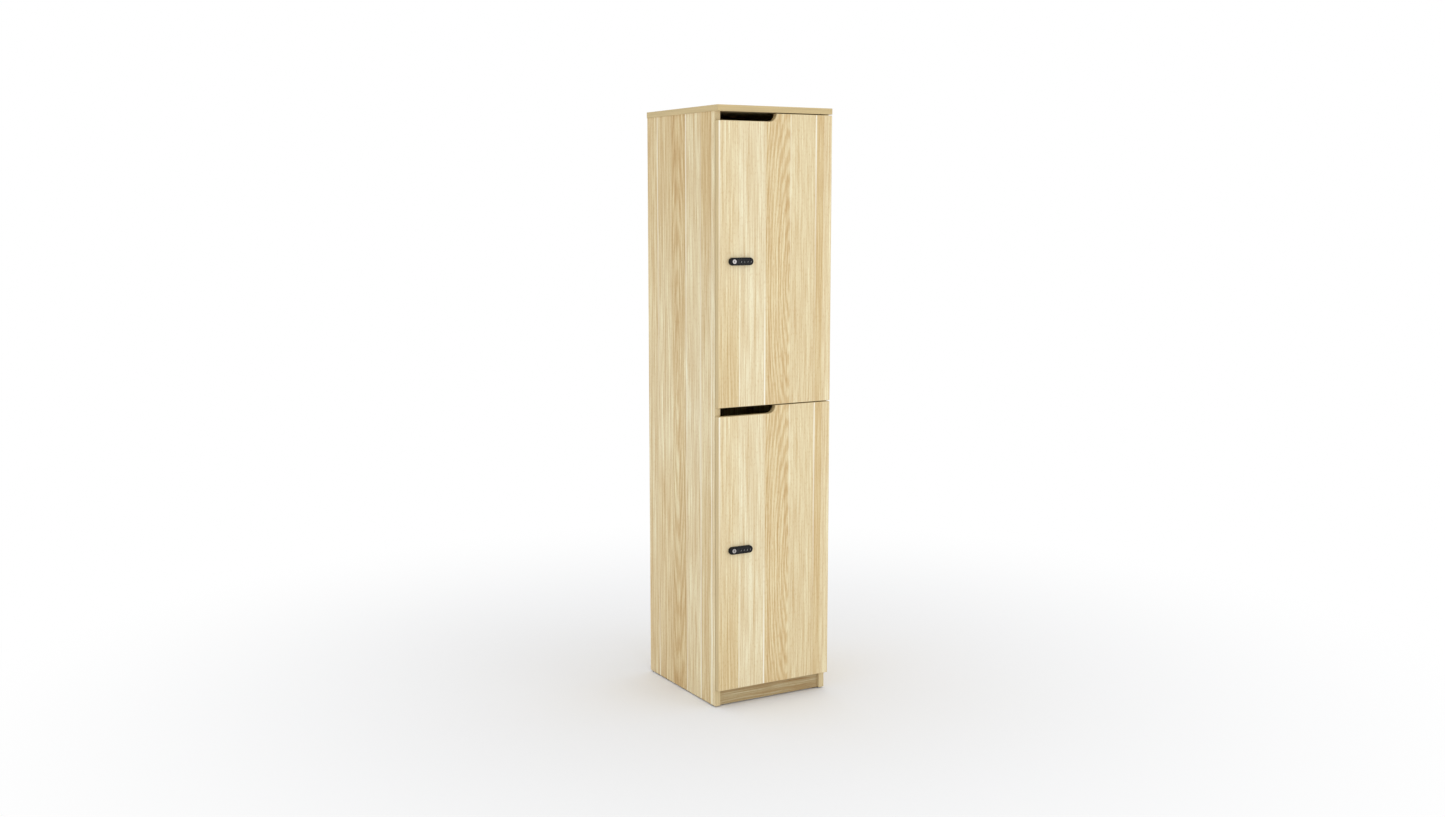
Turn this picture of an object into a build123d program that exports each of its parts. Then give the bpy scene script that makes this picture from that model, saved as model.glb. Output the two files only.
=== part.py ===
from build123d import *
import math
import os

# Two-door locker of faced chipboard, with a letter slot and a combination lock in each door.
# Millimetres. X points right, Y into the depth (the doors face -Y), Z up. The floor is z = 0.

# Overall size and boards
HEIGHT = 1830.0
WIDTH = 400.0
CARCASS_DEPTH = 435.0
BOARD = 18.0
BAND = 1.0
FIT = 0.02
FOOT_HEIGHT = 4.0
TOP_OVERHANG = 2.0
TOP_CORNER = 3.0

# Doors
DOOR_GAP = 2.0
REVEAL = 3.0
DOOR_BOTTOM = 57.0
DOOR_CORNER = 2.0
DOOR_EASE = 0.6
SLOT_DROP = 24.0
SLOT_END = 1.0

# Places that follow from them
HALF = WIDTH / 2
INNER = HALF - BOARD
FRONT = -203.0
BACK = FRONT + CARCASS_DEPTH
DOOR_BACK = FRONT - DOOR_GAP
DOOR_FRONT = DOOR_BACK - BOARD
TOP_UNDER = HEIGHT - BOARD
DOOR_HEIGHT = (TOP_UNDER - DOOR_BOTTOM) / 2 - REVEAL
SHELF_UNDER = DOOR_BOTTOM + DOOR_HEIGHT + REVEAL
FLOOR_UNDER = 60.0

# Back panel, plinth and rear rail
BACK_THICKNESS = 8.0
BACK_INSET = 10.0
GROOVE_DEPTH = 6.0
BACK_REAR = BACK - BACK_INSET
BACK_FACE = BACK_REAR - BACK_THICKNESS
PLINTH_SETBACK = 7.2

# Board fittings
CAM_RADIUS = 7.5
CAM_DEPTH = 12.5
CAM_INSET = 34.0
BOLT_RADIUS = 3.0
BOLT_BORE = 3.3
BOLT_IN_SIDE = 11.0
DOWEL_RADIUS = 4.0
DOWEL_HALF = 15.0
DOWEL_IN_SIDE = 12.0
FITTING_ROWS = (-150.0, 150.0)
DOWEL_ROWS = (-110.0, 110.0)

# Glide feet
FOOT_RADIUS = 8.0
FOOT_ROWS = (-184.0, 177.0)
NAIL_RADIUS = 1.25
NAIL_LENGTH = 14.0

# Cup hinges: one pin near the outer front corner of the door
PIN_X = 194.5
PIN_Y = -215.5
PIN_RADIUS = 1.0
PIN_HALF = 7.0
PIN_PLAY = 0.05
CUP_RADIUS = 17.5
CUP_X = 179.5
CUP_DEPTH = 13.2
CUP_SLOT = 4.3
CUP_FLOOR = 0.6
CUP_RIB = 7.3
CUP_WALL = 1.0
FLANGE = 1.0
FLANGE_X = (164.0, 190.0)
FLANGE_HALF = 27.0
CUP_SCREW_X = 170.0
CUP_SCREW_Z = 22.5
HINGE_INSET = 100.0
ARM_HALF = 4.0
EYE_RADIUS = 1.9
HOOK = (-1.6, 1.0)
LEG_X = (178.3, 181.3)
ARM_X = (167.5, 171.8)
ARM_FRONT = -197.0
ARM_BRIDGE = 3.5
ARM_REAR = -152.0
ARM_BODY_HALF = 6.0
PLATE_X = (179.5, INNER)
PLATE_Y = (-176.0, -156.0)
PLATE_HALF = 22.0
SPINE_Y = (-192.0, ARM_REAR)
SPINE_HALF = 5.5
PLATE_SCREW_Y = -166.0
PLATE_SCREW_Z = 16.0

# Combination lock
LOCK_LENGTH = 82.0
LOCK_TALL = 23.0
LOCK_PROUD = 10.0
LOCK_X = -124.2
LOCK_EASE = 2.5
LOCK_FRONT = DOOR_FRONT - LOCK_PROUD
FACE_X = (-140.8, -88.3)
FACE_HALF = 6.3
FACE_CORNER = 3.0
FACE_INSET = 0.3
FACE_THICKNESS = 1.2
WINDOW = (7.4, 9.0)
DIAL_X = (-125.6, -114.6, -103.6, -92.6)
DIAL_RADIUS = 5.2
DIAL_WIDTH = 7.0
DIAL_PITCH = 11.0
HUB_RADIUS = 2.8
HUB_PLAY = 0.4
DIAL_Y = -228.5
DIAL_DIGITS = 10
NOTCH_RADIUS = 0.45
SHAFT_RADIUS = 1.5
SHAFT_X = (-134.0, -85.2)
CAVITY_X = (-131.3, -86.9)
CAVITY_HALF = 5.6
KNOB_X = -149.9
KNOB_RADIUS = 8.2
KNOB_PROUD = 1.0
KNOB_BACK = -227.5
RUNNING = 0.06
SPINDLE_RADIUS = 3.95
BARREL_RADIUS = 9.0
BARREL_END = -199.3
BARREL_HOLE = 9.1
PEG_X = -136.5
PEG_RADIUS = 2.0
PEG_DEPTH = 6.0
NUT_ACROSS = 24.0
NUT_THICKNESS = 5.0
PLUG_RADIUS = 6.8
PLUG_DEPTH = 5.5
KEYWAY = (1.8, 7.0)
KEYWAY_DEPTH = 4.0
KEYWAY_ROUND = 1.6
LATCH_FRONT = -199.1
LATCH_THICKNESS = 2.5
LATCH_REACH = 27.0
LATCH_WIDTH = 12.0
LATCH_HUB = 8.0
SQUARE = 6.0
LATCH_BOLT_RADIUS = 2.0
LATCH_BOLT_HEAD = 4.2
LATCH_BOLT_LENGTH = 9.5

# Strike plates on the left side
STRIKE = 1.5
STRIKE_FRONT = -202.4
STRIKE_REAR = -178.0
STRIKE_REACH = 13.0
STRIKE_TAB_HALF = 14.0
STRIKE_HALF = 20.0
STRIKE_SCREW_Y = -187.0
STRIKE_SCREW_Z = 12.0

# Wood screws
HEAD_HEIGHT = 1.6
CROSS_WIDTH = 1.0
CROSS_DEPTH = 0.8


def block(x, y, z):
    """A box between low and high limits along each axis."""
    size = [high - low for low, high in (x, y, z)]
    middle = [(high + low) / 2 for low, high in (x, y, z)]
    return Pos(*middle) * Box(*size)


def rod(axis, radius, low, high, first, second):
    """A round bar along one axis, from low to high, at the other two coordinates."""
    middle = (low + high) / 2
    turn = {"x": Rot(0, 90, 0), "y": Rot(90, 0, 0), "z": Rot(0, 0, 0)}[axis]
    place = {"x": (middle, first, second), "y": (first, middle, second), "z": (first, second, middle)}
    return Pos(*place[axis]) * turn * Cylinder(radius, high - low)


def upright(sketch, y_low, y_high, x=0.0, z=0.0):
    """A sketch drawn as seen from the front, given its thickness from y_low to y_high."""
    plane = Plane(origin=(x, y_high, z), x_dir=(1, 0, 0), z_dir=(0, -1, 0))
    return extrude(plane * sketch, amount=y_high - y_low)


def group(shapes):
    """Separate solids of one kind, kept together."""
    return Compound([solid for shape in shapes for solid in shape.solids()])


def save(name, shape):
    """One STEP file for each sub-part."""
    export_step(shape, f"parts/{name}.step")


def screw(axis, head_radius, shank_radius, length, seat, first, second, outwards):
    """A pan-head screw. The head stands outwards from the seat and the shank goes the other way."""
    head_end = seat + outwards * HEAD_HEIGHT
    shank_end = seat - outwards * length
    head = rod(axis, head_radius, min(seat, head_end), max(seat, head_end), first, second)
    shank = rod(axis, shank_radius, min(seat, shank_end), max(seat, shank_end), first, second)
    floor = head_end - outwards * CROSS_DEPTH
    along = (min(floor, head_end), max(floor, head_end))
    arm = head_radius * 0.6
    for wide, tall in ((arm, CROSS_WIDTH / 2), (CROSS_WIDTH / 2, arm)):
        first_span = (first - wide, first + wide)
        second_span = (second - tall, second + tall)
        spans = {"x": (along, first_span, second_span), "y": (first_span, along, second_span)}[axis]
        head -= block(*spans)
    return head + shank


# ---------------------------------------------------------------- carcass


def shelf_levels():
    """Underside of each board that hangs between the sides."""
    return (FLOOR_UNDER, SHELF_UNDER)


def rail_places():
    """Depth of each low rail between the sides, as (front, rear)."""
    plinth = (FRONT + PLINTH_SETBACK, FRONT + PLINTH_SETBACK + BOARD)
    rear = (BACK_FACE, BACK)
    return (plinth, rear)


def side_dowels():
    """Dowels across the joints between the sides and the boards or rails."""
    made = []
    for hand in (-1, 1):
        low, high = sorted((hand * (INNER - DOWEL_HALF), hand * (INNER + DOWEL_IN_SIDE)))
        for under in shelf_levels():
            for y in DOWEL_ROWS:
                made.append((low, high, y, under + BOARD / 2))
        for front, rear in rail_places():
            made.append((low, high, (front + rear) / 2, (FOOT_HEIGHT + FLOOR_UNDER) / 2))
    return made


def dowels(clearance=0.0):
    """Every dowel, or with a clearance every dowel's hole."""
    radius = DOWEL_RADIUS + clearance
    across = [rod("x", radius, low - clearance, high + clearance, y, z) for low, high, y, z in side_dowels()]
    low, high = TOP_UNDER - DOWEL_HALF, TOP_UNDER + DOWEL_IN_SIDE
    middle = INNER + BOARD / 2
    for hand in (-1, 1):
        for y in DOWEL_ROWS:
            across.append(rod("z", radius, low - clearance, high + clearance, hand * middle, y))
    return across


def shelf_cam_places():
    """Centre of each cam under the shelf and the floor board, with the side that it pulls to."""
    return [
        (hand, hand * (INNER - CAM_INSET), y, under)
        for hand in (-1, 1)
        for under in shelf_levels()
        for y in FITTING_ROWS
    ]


def cams():
    """Eccentric cams: a drum with a side bore for the bolt and a slot for the screwdriver."""
    drum = Pos(0, 0, CAM_DEPTH / 2) * Cylinder(CAM_RADIUS, CAM_DEPTH)
    drum -= rod("x", BOLT_BORE, 0, CAM_RADIUS + 1, 0, BOARD / 2)
    drum -= block((-5, 5), (-0.8, 0.8), (0, 1.5))
    drum -= block((-0.8, 0.8), (-5, 5), (0, 1.5))
    made = []
    for hand, x, y, under in shelf_cam_places():
        made.append(Pos(x, y, under) * Rot(0, 0, 0 if hand > 0 else 180) * drum)
    for hand in (-1, 1):
        for y in FITTING_ROWS:
            facing = Rot(0, 90, 0) if hand > 0 else Rot(0, -90, 0)
            upward = Rot(0, 0, 180) if hand > 0 else Rot(0, 0, 0)
            made.append(Pos(hand * INNER, y, TOP_UNDER - CAM_INSET) * facing * upward * drum)
    return group(made)


def cam_pockets():
    """The bores that the cams sit in."""
    radius = CAM_RADIUS + FIT
    made = [rod("z", radius, under, under + CAM_DEPTH + FIT, x, y) for _, x, y, under in shelf_cam_places()]
    for hand in (-1, 1):
        low, high = sorted((hand * INNER, hand * (INNER + CAM_DEPTH + FIT)))
        made += [rod("x", radius, low, high, y, TOP_UNDER - CAM_INSET) for y in FITTING_ROWS]
    return made


def bolts(radius, end_gap):
    """Every cam bolt, or with a larger radius the bore that it lies in."""
    made = []
    for hand, x, y, under in shelf_cam_places():
        low, high = sorted((x + hand * end_gap, hand * (INNER + BOLT_IN_SIDE)))
        made.append(rod("x", radius, low, high, y, under + BOARD / 2))
    low, high = TOP_UNDER - CAM_INSET + end_gap, TOP_UNDER + BOLT_IN_SIDE
    for hand in (-1, 1):
        for y in FITTING_ROWS:
            made.append(rod("z", radius, low, high, hand * (INNER + BOARD / 2), y))
    return made


def bored(board):
    """A board with the bores of the fittings and dowels that meet it."""
    limits = board.bounding_box()
    for tool in cam_pockets() + bolts(BOLT_BORE, 0.0) + dowels(FIT):
        box = tool.bounding_box()
        apart = any(
            first > second
            for low, high in ((limits.min, box.max), (box.min, limits.max))
            for first, second in zip(low, high)
        )
        if not apart:
            board -= tool
    return board


def side_panel(hand):
    """A side board, with the groove for the back and the bores for its hardware."""
    low, high = sorted((hand * INNER, hand * HALF))
    board = block((low, high), (FRONT + BAND, BACK), (FOOT_HEIGHT, TOP_UNDER))
    groove_x = sorted((hand * INNER, hand * (INNER + GROOVE_DEPTH + FIT)))
    board -= block(groove_x, (BACK_FACE - FIT, BACK_REAR + FIT), (FLOOR_UNDER, TOP_UNDER))
    middle = hand * (INNER + BOARD / 2)
    for y in FOOT_ROWS:
        board -= rod("z", NAIL_RADIUS + FIT, FOOT_HEIGHT, FOOT_HEIGHT + NAIL_LENGTH + FIT, middle, y)
    if hand > 0:
        for z in hinge_heights():
            for offset in (-PLATE_SCREW_Z, PLATE_SCREW_Z):
                board -= rod("x", 2.0 + FIT, INNER, INNER + 10.0, PLATE_SCREW_Y, z + offset)
    else:
        for z in lock_heights():
            for offset in (-STRIKE_SCREW_Z, STRIKE_SCREW_Z):
                board -= rod("x", 1.5 + FIT, -INNER - 11.0, -INNER, STRIKE_SCREW_Y, z + offset)
    return bored(board)


def side_band(hand):
    """Edging strip on the front edge of a side board."""
    x = sorted((hand * INNER, hand * HALF))
    return block(x, (FRONT, FRONT + BAND), (FOOT_HEIGHT, TOP_UNDER))


def top_outline(inset):
    """Plan of the top board, drawn in by the inset."""
    reach = HALF + TOP_OVERHANG
    depth = BACK + TOP_OVERHANG - DOOR_FRONT
    plan = RectangleRounded(2 * (reach - inset), depth - 2 * inset, TOP_CORNER - inset)
    return Pos(0, DOOR_FRONT + depth / 2, TOP_UNDER) * plan


def top_panel():
    """The top board inside its edging, with the groove for the back."""
    board = extrude(top_outline(BAND), amount=BOARD)
    reach = INNER + GROOVE_DEPTH + FIT
    groove = ((-reach, reach), (BACK_FACE - FIT, BACK_REAR + FIT))
    board -= block(*groove, (TOP_UNDER, TOP_UNDER + GROOVE_DEPTH + FIT))
    return bored(board)


def top_band():
    """Edging all round the top board."""
    return extrude(top_outline(0) - top_outline(BAND), amount=BOARD)


def shelf(under):
    """A board between the sides, from the front to the back panel."""
    board = block((-INNER, INNER), (FRONT, BACK_FACE), (under, under + BOARD))
    return bored(board)


def rail(front, rear):
    """A low rail between the sides, under the floor board."""
    return bored(block((-INNER, INNER), (front, rear), (FOOT_HEIGHT, FLOOR_UNDER)))


def back_panel():
    """The thin back, held in grooves in the sides and the top."""
    reach = INNER + GROOVE_DEPTH
    return block((-reach, reach), (BACK_FACE, BACK_REAR), (FLOOR_UNDER, TOP_UNDER + GROOVE_DEPTH))


def feet():
    """Nail-on glides under the side boards."""
    glide = Cylinder(FOOT_RADIUS, FOOT_HEIGHT)
    glide = chamfer(glide.edges().filter_by(GeomType.CIRCLE).sort_by(Axis.Z)[0], 1.0)
    glide = Pos(0, 0, FOOT_HEIGHT / 2) * glide
    glide += rod("z", NAIL_RADIUS, FOOT_HEIGHT, FOOT_HEIGHT + NAIL_LENGTH, 0, 0)
    middle = INNER + BOARD / 2
    return group([Pos(hand * middle, y, 0) * glide for hand in (-1, 1) for y in FOOT_ROWS])


# ---------------------------------------------------------------- doors


def door_levels():
    """Bottom of the lower and the upper door."""
    return (DOOR_BOTTOM, DOOR_BOTTOM + DOOR_HEIGHT + REVEAL)


def lock_heights():
    """Centre of each lock, half way up its door."""
    return [low + DOOR_HEIGHT / 2 for low in door_levels()]


def hinge_pair(low):
    """Heights of the two hinges of a door."""
    return (low + HINGE_INSET, low + DOOR_HEIGHT - HINGE_INSET)


def hinge_heights():
    """Height of every hinge."""
    return [z for low in door_levels() for z in hinge_pair(low)]


def door_outline(inset):
    """Front view of a door from its bottom edge, drawn in by the inset: a slot leaves the top left corner."""
    left, right, base = -HALF + inset, HALF - inset, inset
    top, ledge = DOOR_HEIGHT - inset, DOOR_HEIGHT - SLOT_DROP - inset
    radius = SLOT_DROP + inset
    centre = (SLOT_END - SLOT_DROP, DOOR_HEIGHT)
    start_angle = math.degrees(math.asin(inset / radius))
    arc = CenterArc(centre, radius, 270, 90 - start_angle)
    arc_end = arc @ 1
    wires = [
        Line((left, base), (right, base)),
        Line((right, base), (right, top)),
        Line((right, top), arc_end),
        arc,
        Line(arc @ 0, (left, ledge)),
        Line((left, ledge), (left, base)),
    ]
    face = make_face(Curve() + wires)
    corners = [v for v in face.vertices() if abs(abs(v.X) - (HALF - inset)) < FIT]
    return fillet(corners, DOOR_CORNER - inset * 0.9)


def door_panel(low):
    """The board of a door inside its edging, bored for the cups, the lock and their screws."""
    board = upright(door_outline(BAND), DOOR_FRONT, DOOR_BACK, z=low)
    for z in hinge_pair(low):
        board -= rod("y", CUP_RADIUS + FIT, DOOR_BACK - CUP_DEPTH - FIT, DOOR_BACK, CUP_X, z)
        for offset in (-CUP_SCREW_Z, CUP_SCREW_Z):
            board -= rod("y", 1.75 + FIT, DOOR_BACK - 11.1, DOOR_BACK, CUP_SCREW_X, z + offset)
    lock_z = low + DOOR_HEIGHT / 2
    board -= rod("y", BARREL_HOLE, DOOR_FRONT, DOOR_BACK, KNOB_X, lock_z)
    board -= rod("y", PEG_RADIUS + RUNNING, DOOR_FRONT, DOOR_FRONT + PEG_DEPTH + FIT, PEG_X, lock_z)
    return board


def door_band(low):
    """Edging all round a door, with eased outer edges."""
    whole = upright(door_outline(0), DOOR_FRONT, DOOR_BACK, z=low)
    faces = whole.faces().filter_by(Axis.Y)
    whole = fillet(faces.edges(), DOOR_EASE)
    return whole - upright(door_outline(BAND), DOOR_FRONT, DOOR_BACK, z=low)


def hinge_cup(z):
    """A cup in the back of a door: two ribs carry the pin, and the arm enters between them."""
    floor = DOOR_BACK - CUP_DEPTH
    cup = rod("y", CUP_RADIUS, floor, DOOR_BACK, CUP_X, z)
    hollow = rod("y", CUP_RADIUS - CUP_WALL, floor + CUP_FLOOR, DOOR_BACK + 1, CUP_X, z)
    reach = CUP_RADIUS + 1
    ribs = block((CUP_X - reach, CUP_X + reach), (floor, DOOR_BACK + 1), (z - CUP_RIB, z + CUP_RIB))
    cup -= hollow - ribs
    flange = block(FLANGE_X, (DOOR_BACK, DOOR_BACK + FLANGE), (z - FLANGE_HALF, z + FLANGE_HALF))
    flange = fillet(flange.edges().filter_by(Axis.Y), 5.0)
    flange -= hollow - ribs
    cup += flange
    slot_end = CUP_X + CUP_RADIUS + 1
    slot_y = (floor + CUP_FLOOR, DOOR_BACK + 2)
    cup -= block((CUP_X - CUP_RADIUS + CUP_WALL, slot_end), slot_y, (z - CUP_SLOT, z + CUP_SLOT))
    cup -= rod("z", PIN_RADIUS + FIT / 2, z - PIN_HALF, z + PIN_HALF, PIN_X, PIN_Y)
    for offset in (-CUP_SCREW_Z, CUP_SCREW_Z):
        cup -= rod("y", 1.75 + FIT, DOOR_BACK, DOOR_BACK + FLANGE, CUP_SCREW_X, z + offset)
    return cup


def cup_screws(low):
    """Screws through the flanges of a door's cups."""
    return group([
        screw("y", 3.2, 1.75, 12.0, DOOR_BACK + FLANGE, CUP_SCREW_X, z + offset, 1)
        for z in hinge_pair(low)
        for offset in (-CUP_SCREW_Z, CUP_SCREW_Z)
    ])


def hinge_pins(low):
    """The pins that a door turns on."""
    return group([
        rod("z", PIN_RADIUS, z - PIN_HALF, z + PIN_HALF, PIN_X, PIN_Y) for z in hinge_pair(low)
    ])


def hinge_arm(z):
    """An arm on the side board, which reaches round its edge into the cup and ends in an eye."""
    low, high = HOOK
    bridge_rear = ARM_FRONT + ARM_BRIDGE
    points = [
        (PIN_X, PIN_Y + low),
        (PIN_X, PIN_Y + high),
        (LEG_X[1], PIN_Y + high),
        (LEG_X[1], bridge_rear),
        (ARM_X[0], bridge_rear),
        (ARM_X[0], ARM_FRONT),
        (LEG_X[0], ARM_FRONT),
        (LEG_X[0], PIN_Y + low),
    ]
    profile = make_face(Polyline(*points, close=True))
    arm = extrude(Pos(0, 0, z - ARM_HALF) * profile, amount=2 * ARM_HALF)
    arm += rod("z", EYE_RADIUS, z - ARM_HALF, z + ARM_HALF, PIN_X, PIN_Y)
    arm += block(ARM_X, (ARM_FRONT, ARM_REAR), (z - ARM_BODY_HALF, z + ARM_BODY_HALF))
    return arm - rod("z", PIN_RADIUS + PIN_PLAY, z - ARM_HALF, z + ARM_HALF, PIN_X, PIN_Y)


def hinge_plates():
    """Mounting plates that the arms sit on, screwed to the right side board."""
    made = []
    for z in hinge_heights():
        plate = block(PLATE_X, PLATE_Y, (z - PLATE_HALF, z + PLATE_HALF))
        plate = fillet(plate.edges().filter_by(Axis.X), 4.0)
        plate += block((ARM_X[1], INNER), SPINE_Y, (z - SPINE_HALF, z + SPINE_HALF))
        for offset in (-PLATE_SCREW_Z, PLATE_SCREW_Z):
            plate -= rod("x", 2.0 + FIT, *PLATE_X, PLATE_SCREW_Y, z + offset)
        made.append(plate)
    return group(made)


def plate_screws():
    """Screws of the mounting plates."""
    return group([
        screw("x", 3.6, 2.0, 12.0, PLATE_X[0], PLATE_SCREW_Y, z + offset, -1)
        for z in hinge_heights()
        for offset in (-PLATE_SCREW_Z, PLATE_SCREW_Z)
    ])


# ---------------------------------------------------------------- locks


def lock_housing(z):
    """The lock's case: a slot-shaped front on the door and a threaded barrel through it."""
    case = upright(SlotOverall(LOCK_LENGTH, LOCK_TALL), LOCK_FRONT, DOOR_FRONT, LOCK_X, z)
    case = fillet(case.faces().sort_by(Axis.Y)[0].edges(), LOCK_EASE)
    case += rod("y", BARREL_RADIUS, DOOR_FRONT, BARREL_END, KNOB_X, z)
    case += rod("y", PEG_RADIUS, DOOR_FRONT, DOOR_FRONT + PEG_DEPTH, PEG_X, z)
    recess = FACE_INSET + FACE_THICKNESS
    case -= upright(face_outline(FIT), LOCK_FRONT, LOCK_FRONT + recess, sum(FACE_X) / 2, z)
    case -= block(CAVITY_X, (LOCK_FRONT + recess, DOOR_FRONT), (z - CAVITY_HALF, z + CAVITY_HALF))
    case -= rod("x", SHAFT_RADIUS + FIT / 2, *SHAFT_X, DIAL_Y, z)
    case -= rod("y", KNOB_RADIUS + RUNNING, LOCK_FRONT, KNOB_BACK + RUNNING, KNOB_X, z)
    return case - rod("y", SPINDLE_RADIUS + RUNNING, KNOB_BACK, BARREL_END, KNOB_X, z)


def face_outline(extra):
    """Outline of the small plate with the windows, a little larger by the extra."""
    length = FACE_X[1] - FACE_X[0]
    return RectangleRounded(length + 2 * extra, 2 * (FACE_HALF + extra), FACE_CORNER + extra)


def lock_face(z):
    """The plate in the lock's front, with a window for each dial."""
    front = LOCK_FRONT + FACE_INSET
    plate = upright(face_outline(0), front, front + FACE_THICKNESS, sum(FACE_X) / 2, z)
    wide, tall = WINDOW
    for x in DIAL_X:
        window_x = (x - wide / 2, x + wide / 2)
        plate -= block(window_x, (LOCK_FRONT, front + FACE_THICKNESS), (z - tall / 2, z + tall / 2))
    return plate


def lock_dial(x, z):
    """A number wheel with a hub, a bore for the shaft and a notch between each two numbers."""
    dial = rod("x", DIAL_RADIUS, x - DIAL_WIDTH / 2, x + DIAL_WIDTH / 2, DIAL_Y, z)
    reach = (DIAL_PITCH - HUB_PLAY) / 2
    dial += rod("x", HUB_RADIUS, x - reach, x + reach, DIAL_Y, z)
    for step in range(DIAL_DIGITS):
        angle = 2 * math.pi * (step + 0.5) / DIAL_DIGITS
        y = DIAL_Y - DIAL_RADIUS * math.cos(angle)
        notch_z = z + DIAL_RADIUS * math.sin(angle)
        dial -= rod("x", NOTCH_RADIUS, x - DIAL_WIDTH / 2, x + DIAL_WIDTH / 2, y, notch_z)
    return dial - rod("x", SHAFT_RADIUS + PIN_PLAY, x - reach, x + reach, DIAL_Y, z)


def dial_shaft(z):
    """The shaft that the dials turn on."""
    return rod("x", SHAFT_RADIUS, *SHAFT_X, DIAL_Y, z)


def knob(z):
    """The turning knob and its spindle, squared at the end for the latch."""
    front = LOCK_FRONT - KNOB_PROUD
    head = rod("y", KNOB_RADIUS, front, KNOB_BACK, KNOB_X, z)
    head = chamfer(head.edges().filter_by(GeomType.CIRCLE).sort_by(Axis.Y)[0], 0.4)
    head -= rod("y", PLUG_RADIUS + RUNNING, front, front + PLUG_DEPTH + RUNNING, KNOB_X, z)
    rim = (z - KNOB_RADIUS - 1, z - PLUG_RADIUS)
    head -= block((KNOB_X - 0.5, KNOB_X + 0.5), (front, front + 0.5), rim)
    head += rod("y", SPINDLE_RADIUS, KNOB_BACK, LATCH_FRONT, KNOB_X, z)
    half = SQUARE / 2
    square_end = LATCH_FRONT + LATCH_THICKNESS - 0.1
    head += block((KNOB_X - half, KNOB_X + half), (LATCH_FRONT, square_end), (z - half, z + half))
    bolt_end = LATCH_FRONT + LATCH_THICKNESS - LATCH_BOLT_LENGTH - FIT
    return head - rod("y", LATCH_BOLT_RADIUS + FIT, bolt_end, square_end, KNOB_X, z)


def key_plug(z):
    """The round plug in the knob, with its keyway."""
    front = LOCK_FRONT - KNOB_PROUD
    plug = rod("y", PLUG_RADIUS, front, front + PLUG_DEPTH, KNOB_X, z)
    plug = chamfer(plug.edges().filter_by(GeomType.CIRCLE).sort_by(Axis.Y)[0], 0.3)
    wide, tall = KEYWAY
    across = (KNOB_X - wide / 2, KNOB_X + wide / 2)
    plug -= block(across, (front, front + KEYWAY_DEPTH), (z - tall / 2, z + tall / 2))
    return plug - rod("y", KEYWAY_ROUND, front, front + KEYWAY_DEPTH, KNOB_X, z)


def lock_nut(z):
    """The nut that clamps the barrel to the back of the door."""
    hexagon = RegularPolygon(NUT_ACROSS / 2, 6, major_radius=False) - Circle(BARREL_RADIUS + FIT)
    return upright(hexagon, DOOR_BACK, DOOR_BACK + NUT_THICKNESS, KNOB_X, z)


def latch(z):
    """The cam that turns behind the strike plate. It points down when the lock is open."""
    length = LATCH_REACH - LATCH_WIDTH / 2
    blade = Pos(0, -length / 2) * Rot(0, 0, 90) * SlotCenterToCenter(length, LATCH_WIDTH)
    outline = blade + Circle(LATCH_HUB) - Rectangle(SQUARE + 2 * FIT, SQUARE + 2 * FIT)
    return upright(outline, LATCH_FRONT, LATCH_FRONT + LATCH_THICKNESS, KNOB_X, z)


def latch_bolt(z):
    """The bolt that holds the latch on the spindle."""
    seat = LATCH_FRONT + LATCH_THICKNESS
    return screw("y", LATCH_BOLT_HEAD, LATCH_BOLT_RADIUS, LATCH_BOLT_LENGTH, seat, KNOB_X, z, 1)


def strike_plates():
    """Angle plates on the left side board, which the latches turn behind."""
    made = []
    for z in lock_heights():
        foot = block((-INNER, -INNER + STRIKE), (STRIKE_FRONT, STRIKE_REAR), (z - STRIKE_HALF, z + STRIKE_HALF))
        foot = fillet(foot.edges().filter_by(Axis.X).sort_by(Axis.Y)[-2:], 4.0)
        tab_x = (-INNER, -INNER + STRIKE_REACH)
        tab_y = (STRIKE_FRONT, STRIKE_FRONT + STRIKE)
        tab = block(tab_x, tab_y, (z - STRIKE_TAB_HALF, z + STRIKE_TAB_HALF))
        tab = fillet(tab.edges().filter_by(Axis.Y).sort_by(Axis.X)[-2:], 3.0)
        plate = foot + tab
        for offset in (-STRIKE_SCREW_Z, STRIKE_SCREW_Z):
            plate -= rod("x", 1.5 + FIT, -INNER, -INNER + STRIKE, STRIKE_SCREW_Y, z + offset)
        made.append(plate)
    return group(made)


def strike_screws():
    """Screws of the strike plates."""
    return group([
        screw("x", 2.8, 1.5, 12.0, -INNER + STRIKE, STRIKE_SCREW_Y, z + offset, 1)
        for z in lock_heights()
        for offset in (-STRIKE_SCREW_Z, STRIKE_SCREW_Z)
    ])


# ---------------------------------------------------------------- all sub-parts


def save_carcass():
    """Everything that stands still."""
    plinth, rear = rail_places()
    save("left_side_panel", side_panel(-1))
    save("right_side_panel", side_panel(1))
    save("left_side_edge_band", side_band(-1))
    save("right_side_edge_band", side_band(1))
    save("top_panel", top_panel())
    save("top_edge_band", top_band())
    save("middle_shelf", shelf(SHELF_UNDER))
    save("bottom_panel", shelf(FLOOR_UNDER))
    save("kick_plate", rail(*plinth))
    save("rear_rail", rail(*rear))
    save("back_panel", back_panel())
    save("glide_feet", feet())
    save("cam_fittings", cams())
    save("cam_bolts", group(bolts(BOLT_RADIUS, 1.0)))
    save("wood_dowels", group(dowels()))
    save("hinge_plates", hinge_plates())
    save("hinge_plate_screws", plate_screws())
    save("strike_plates", strike_plates())
    save("strike_screws", strike_screws())


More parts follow.
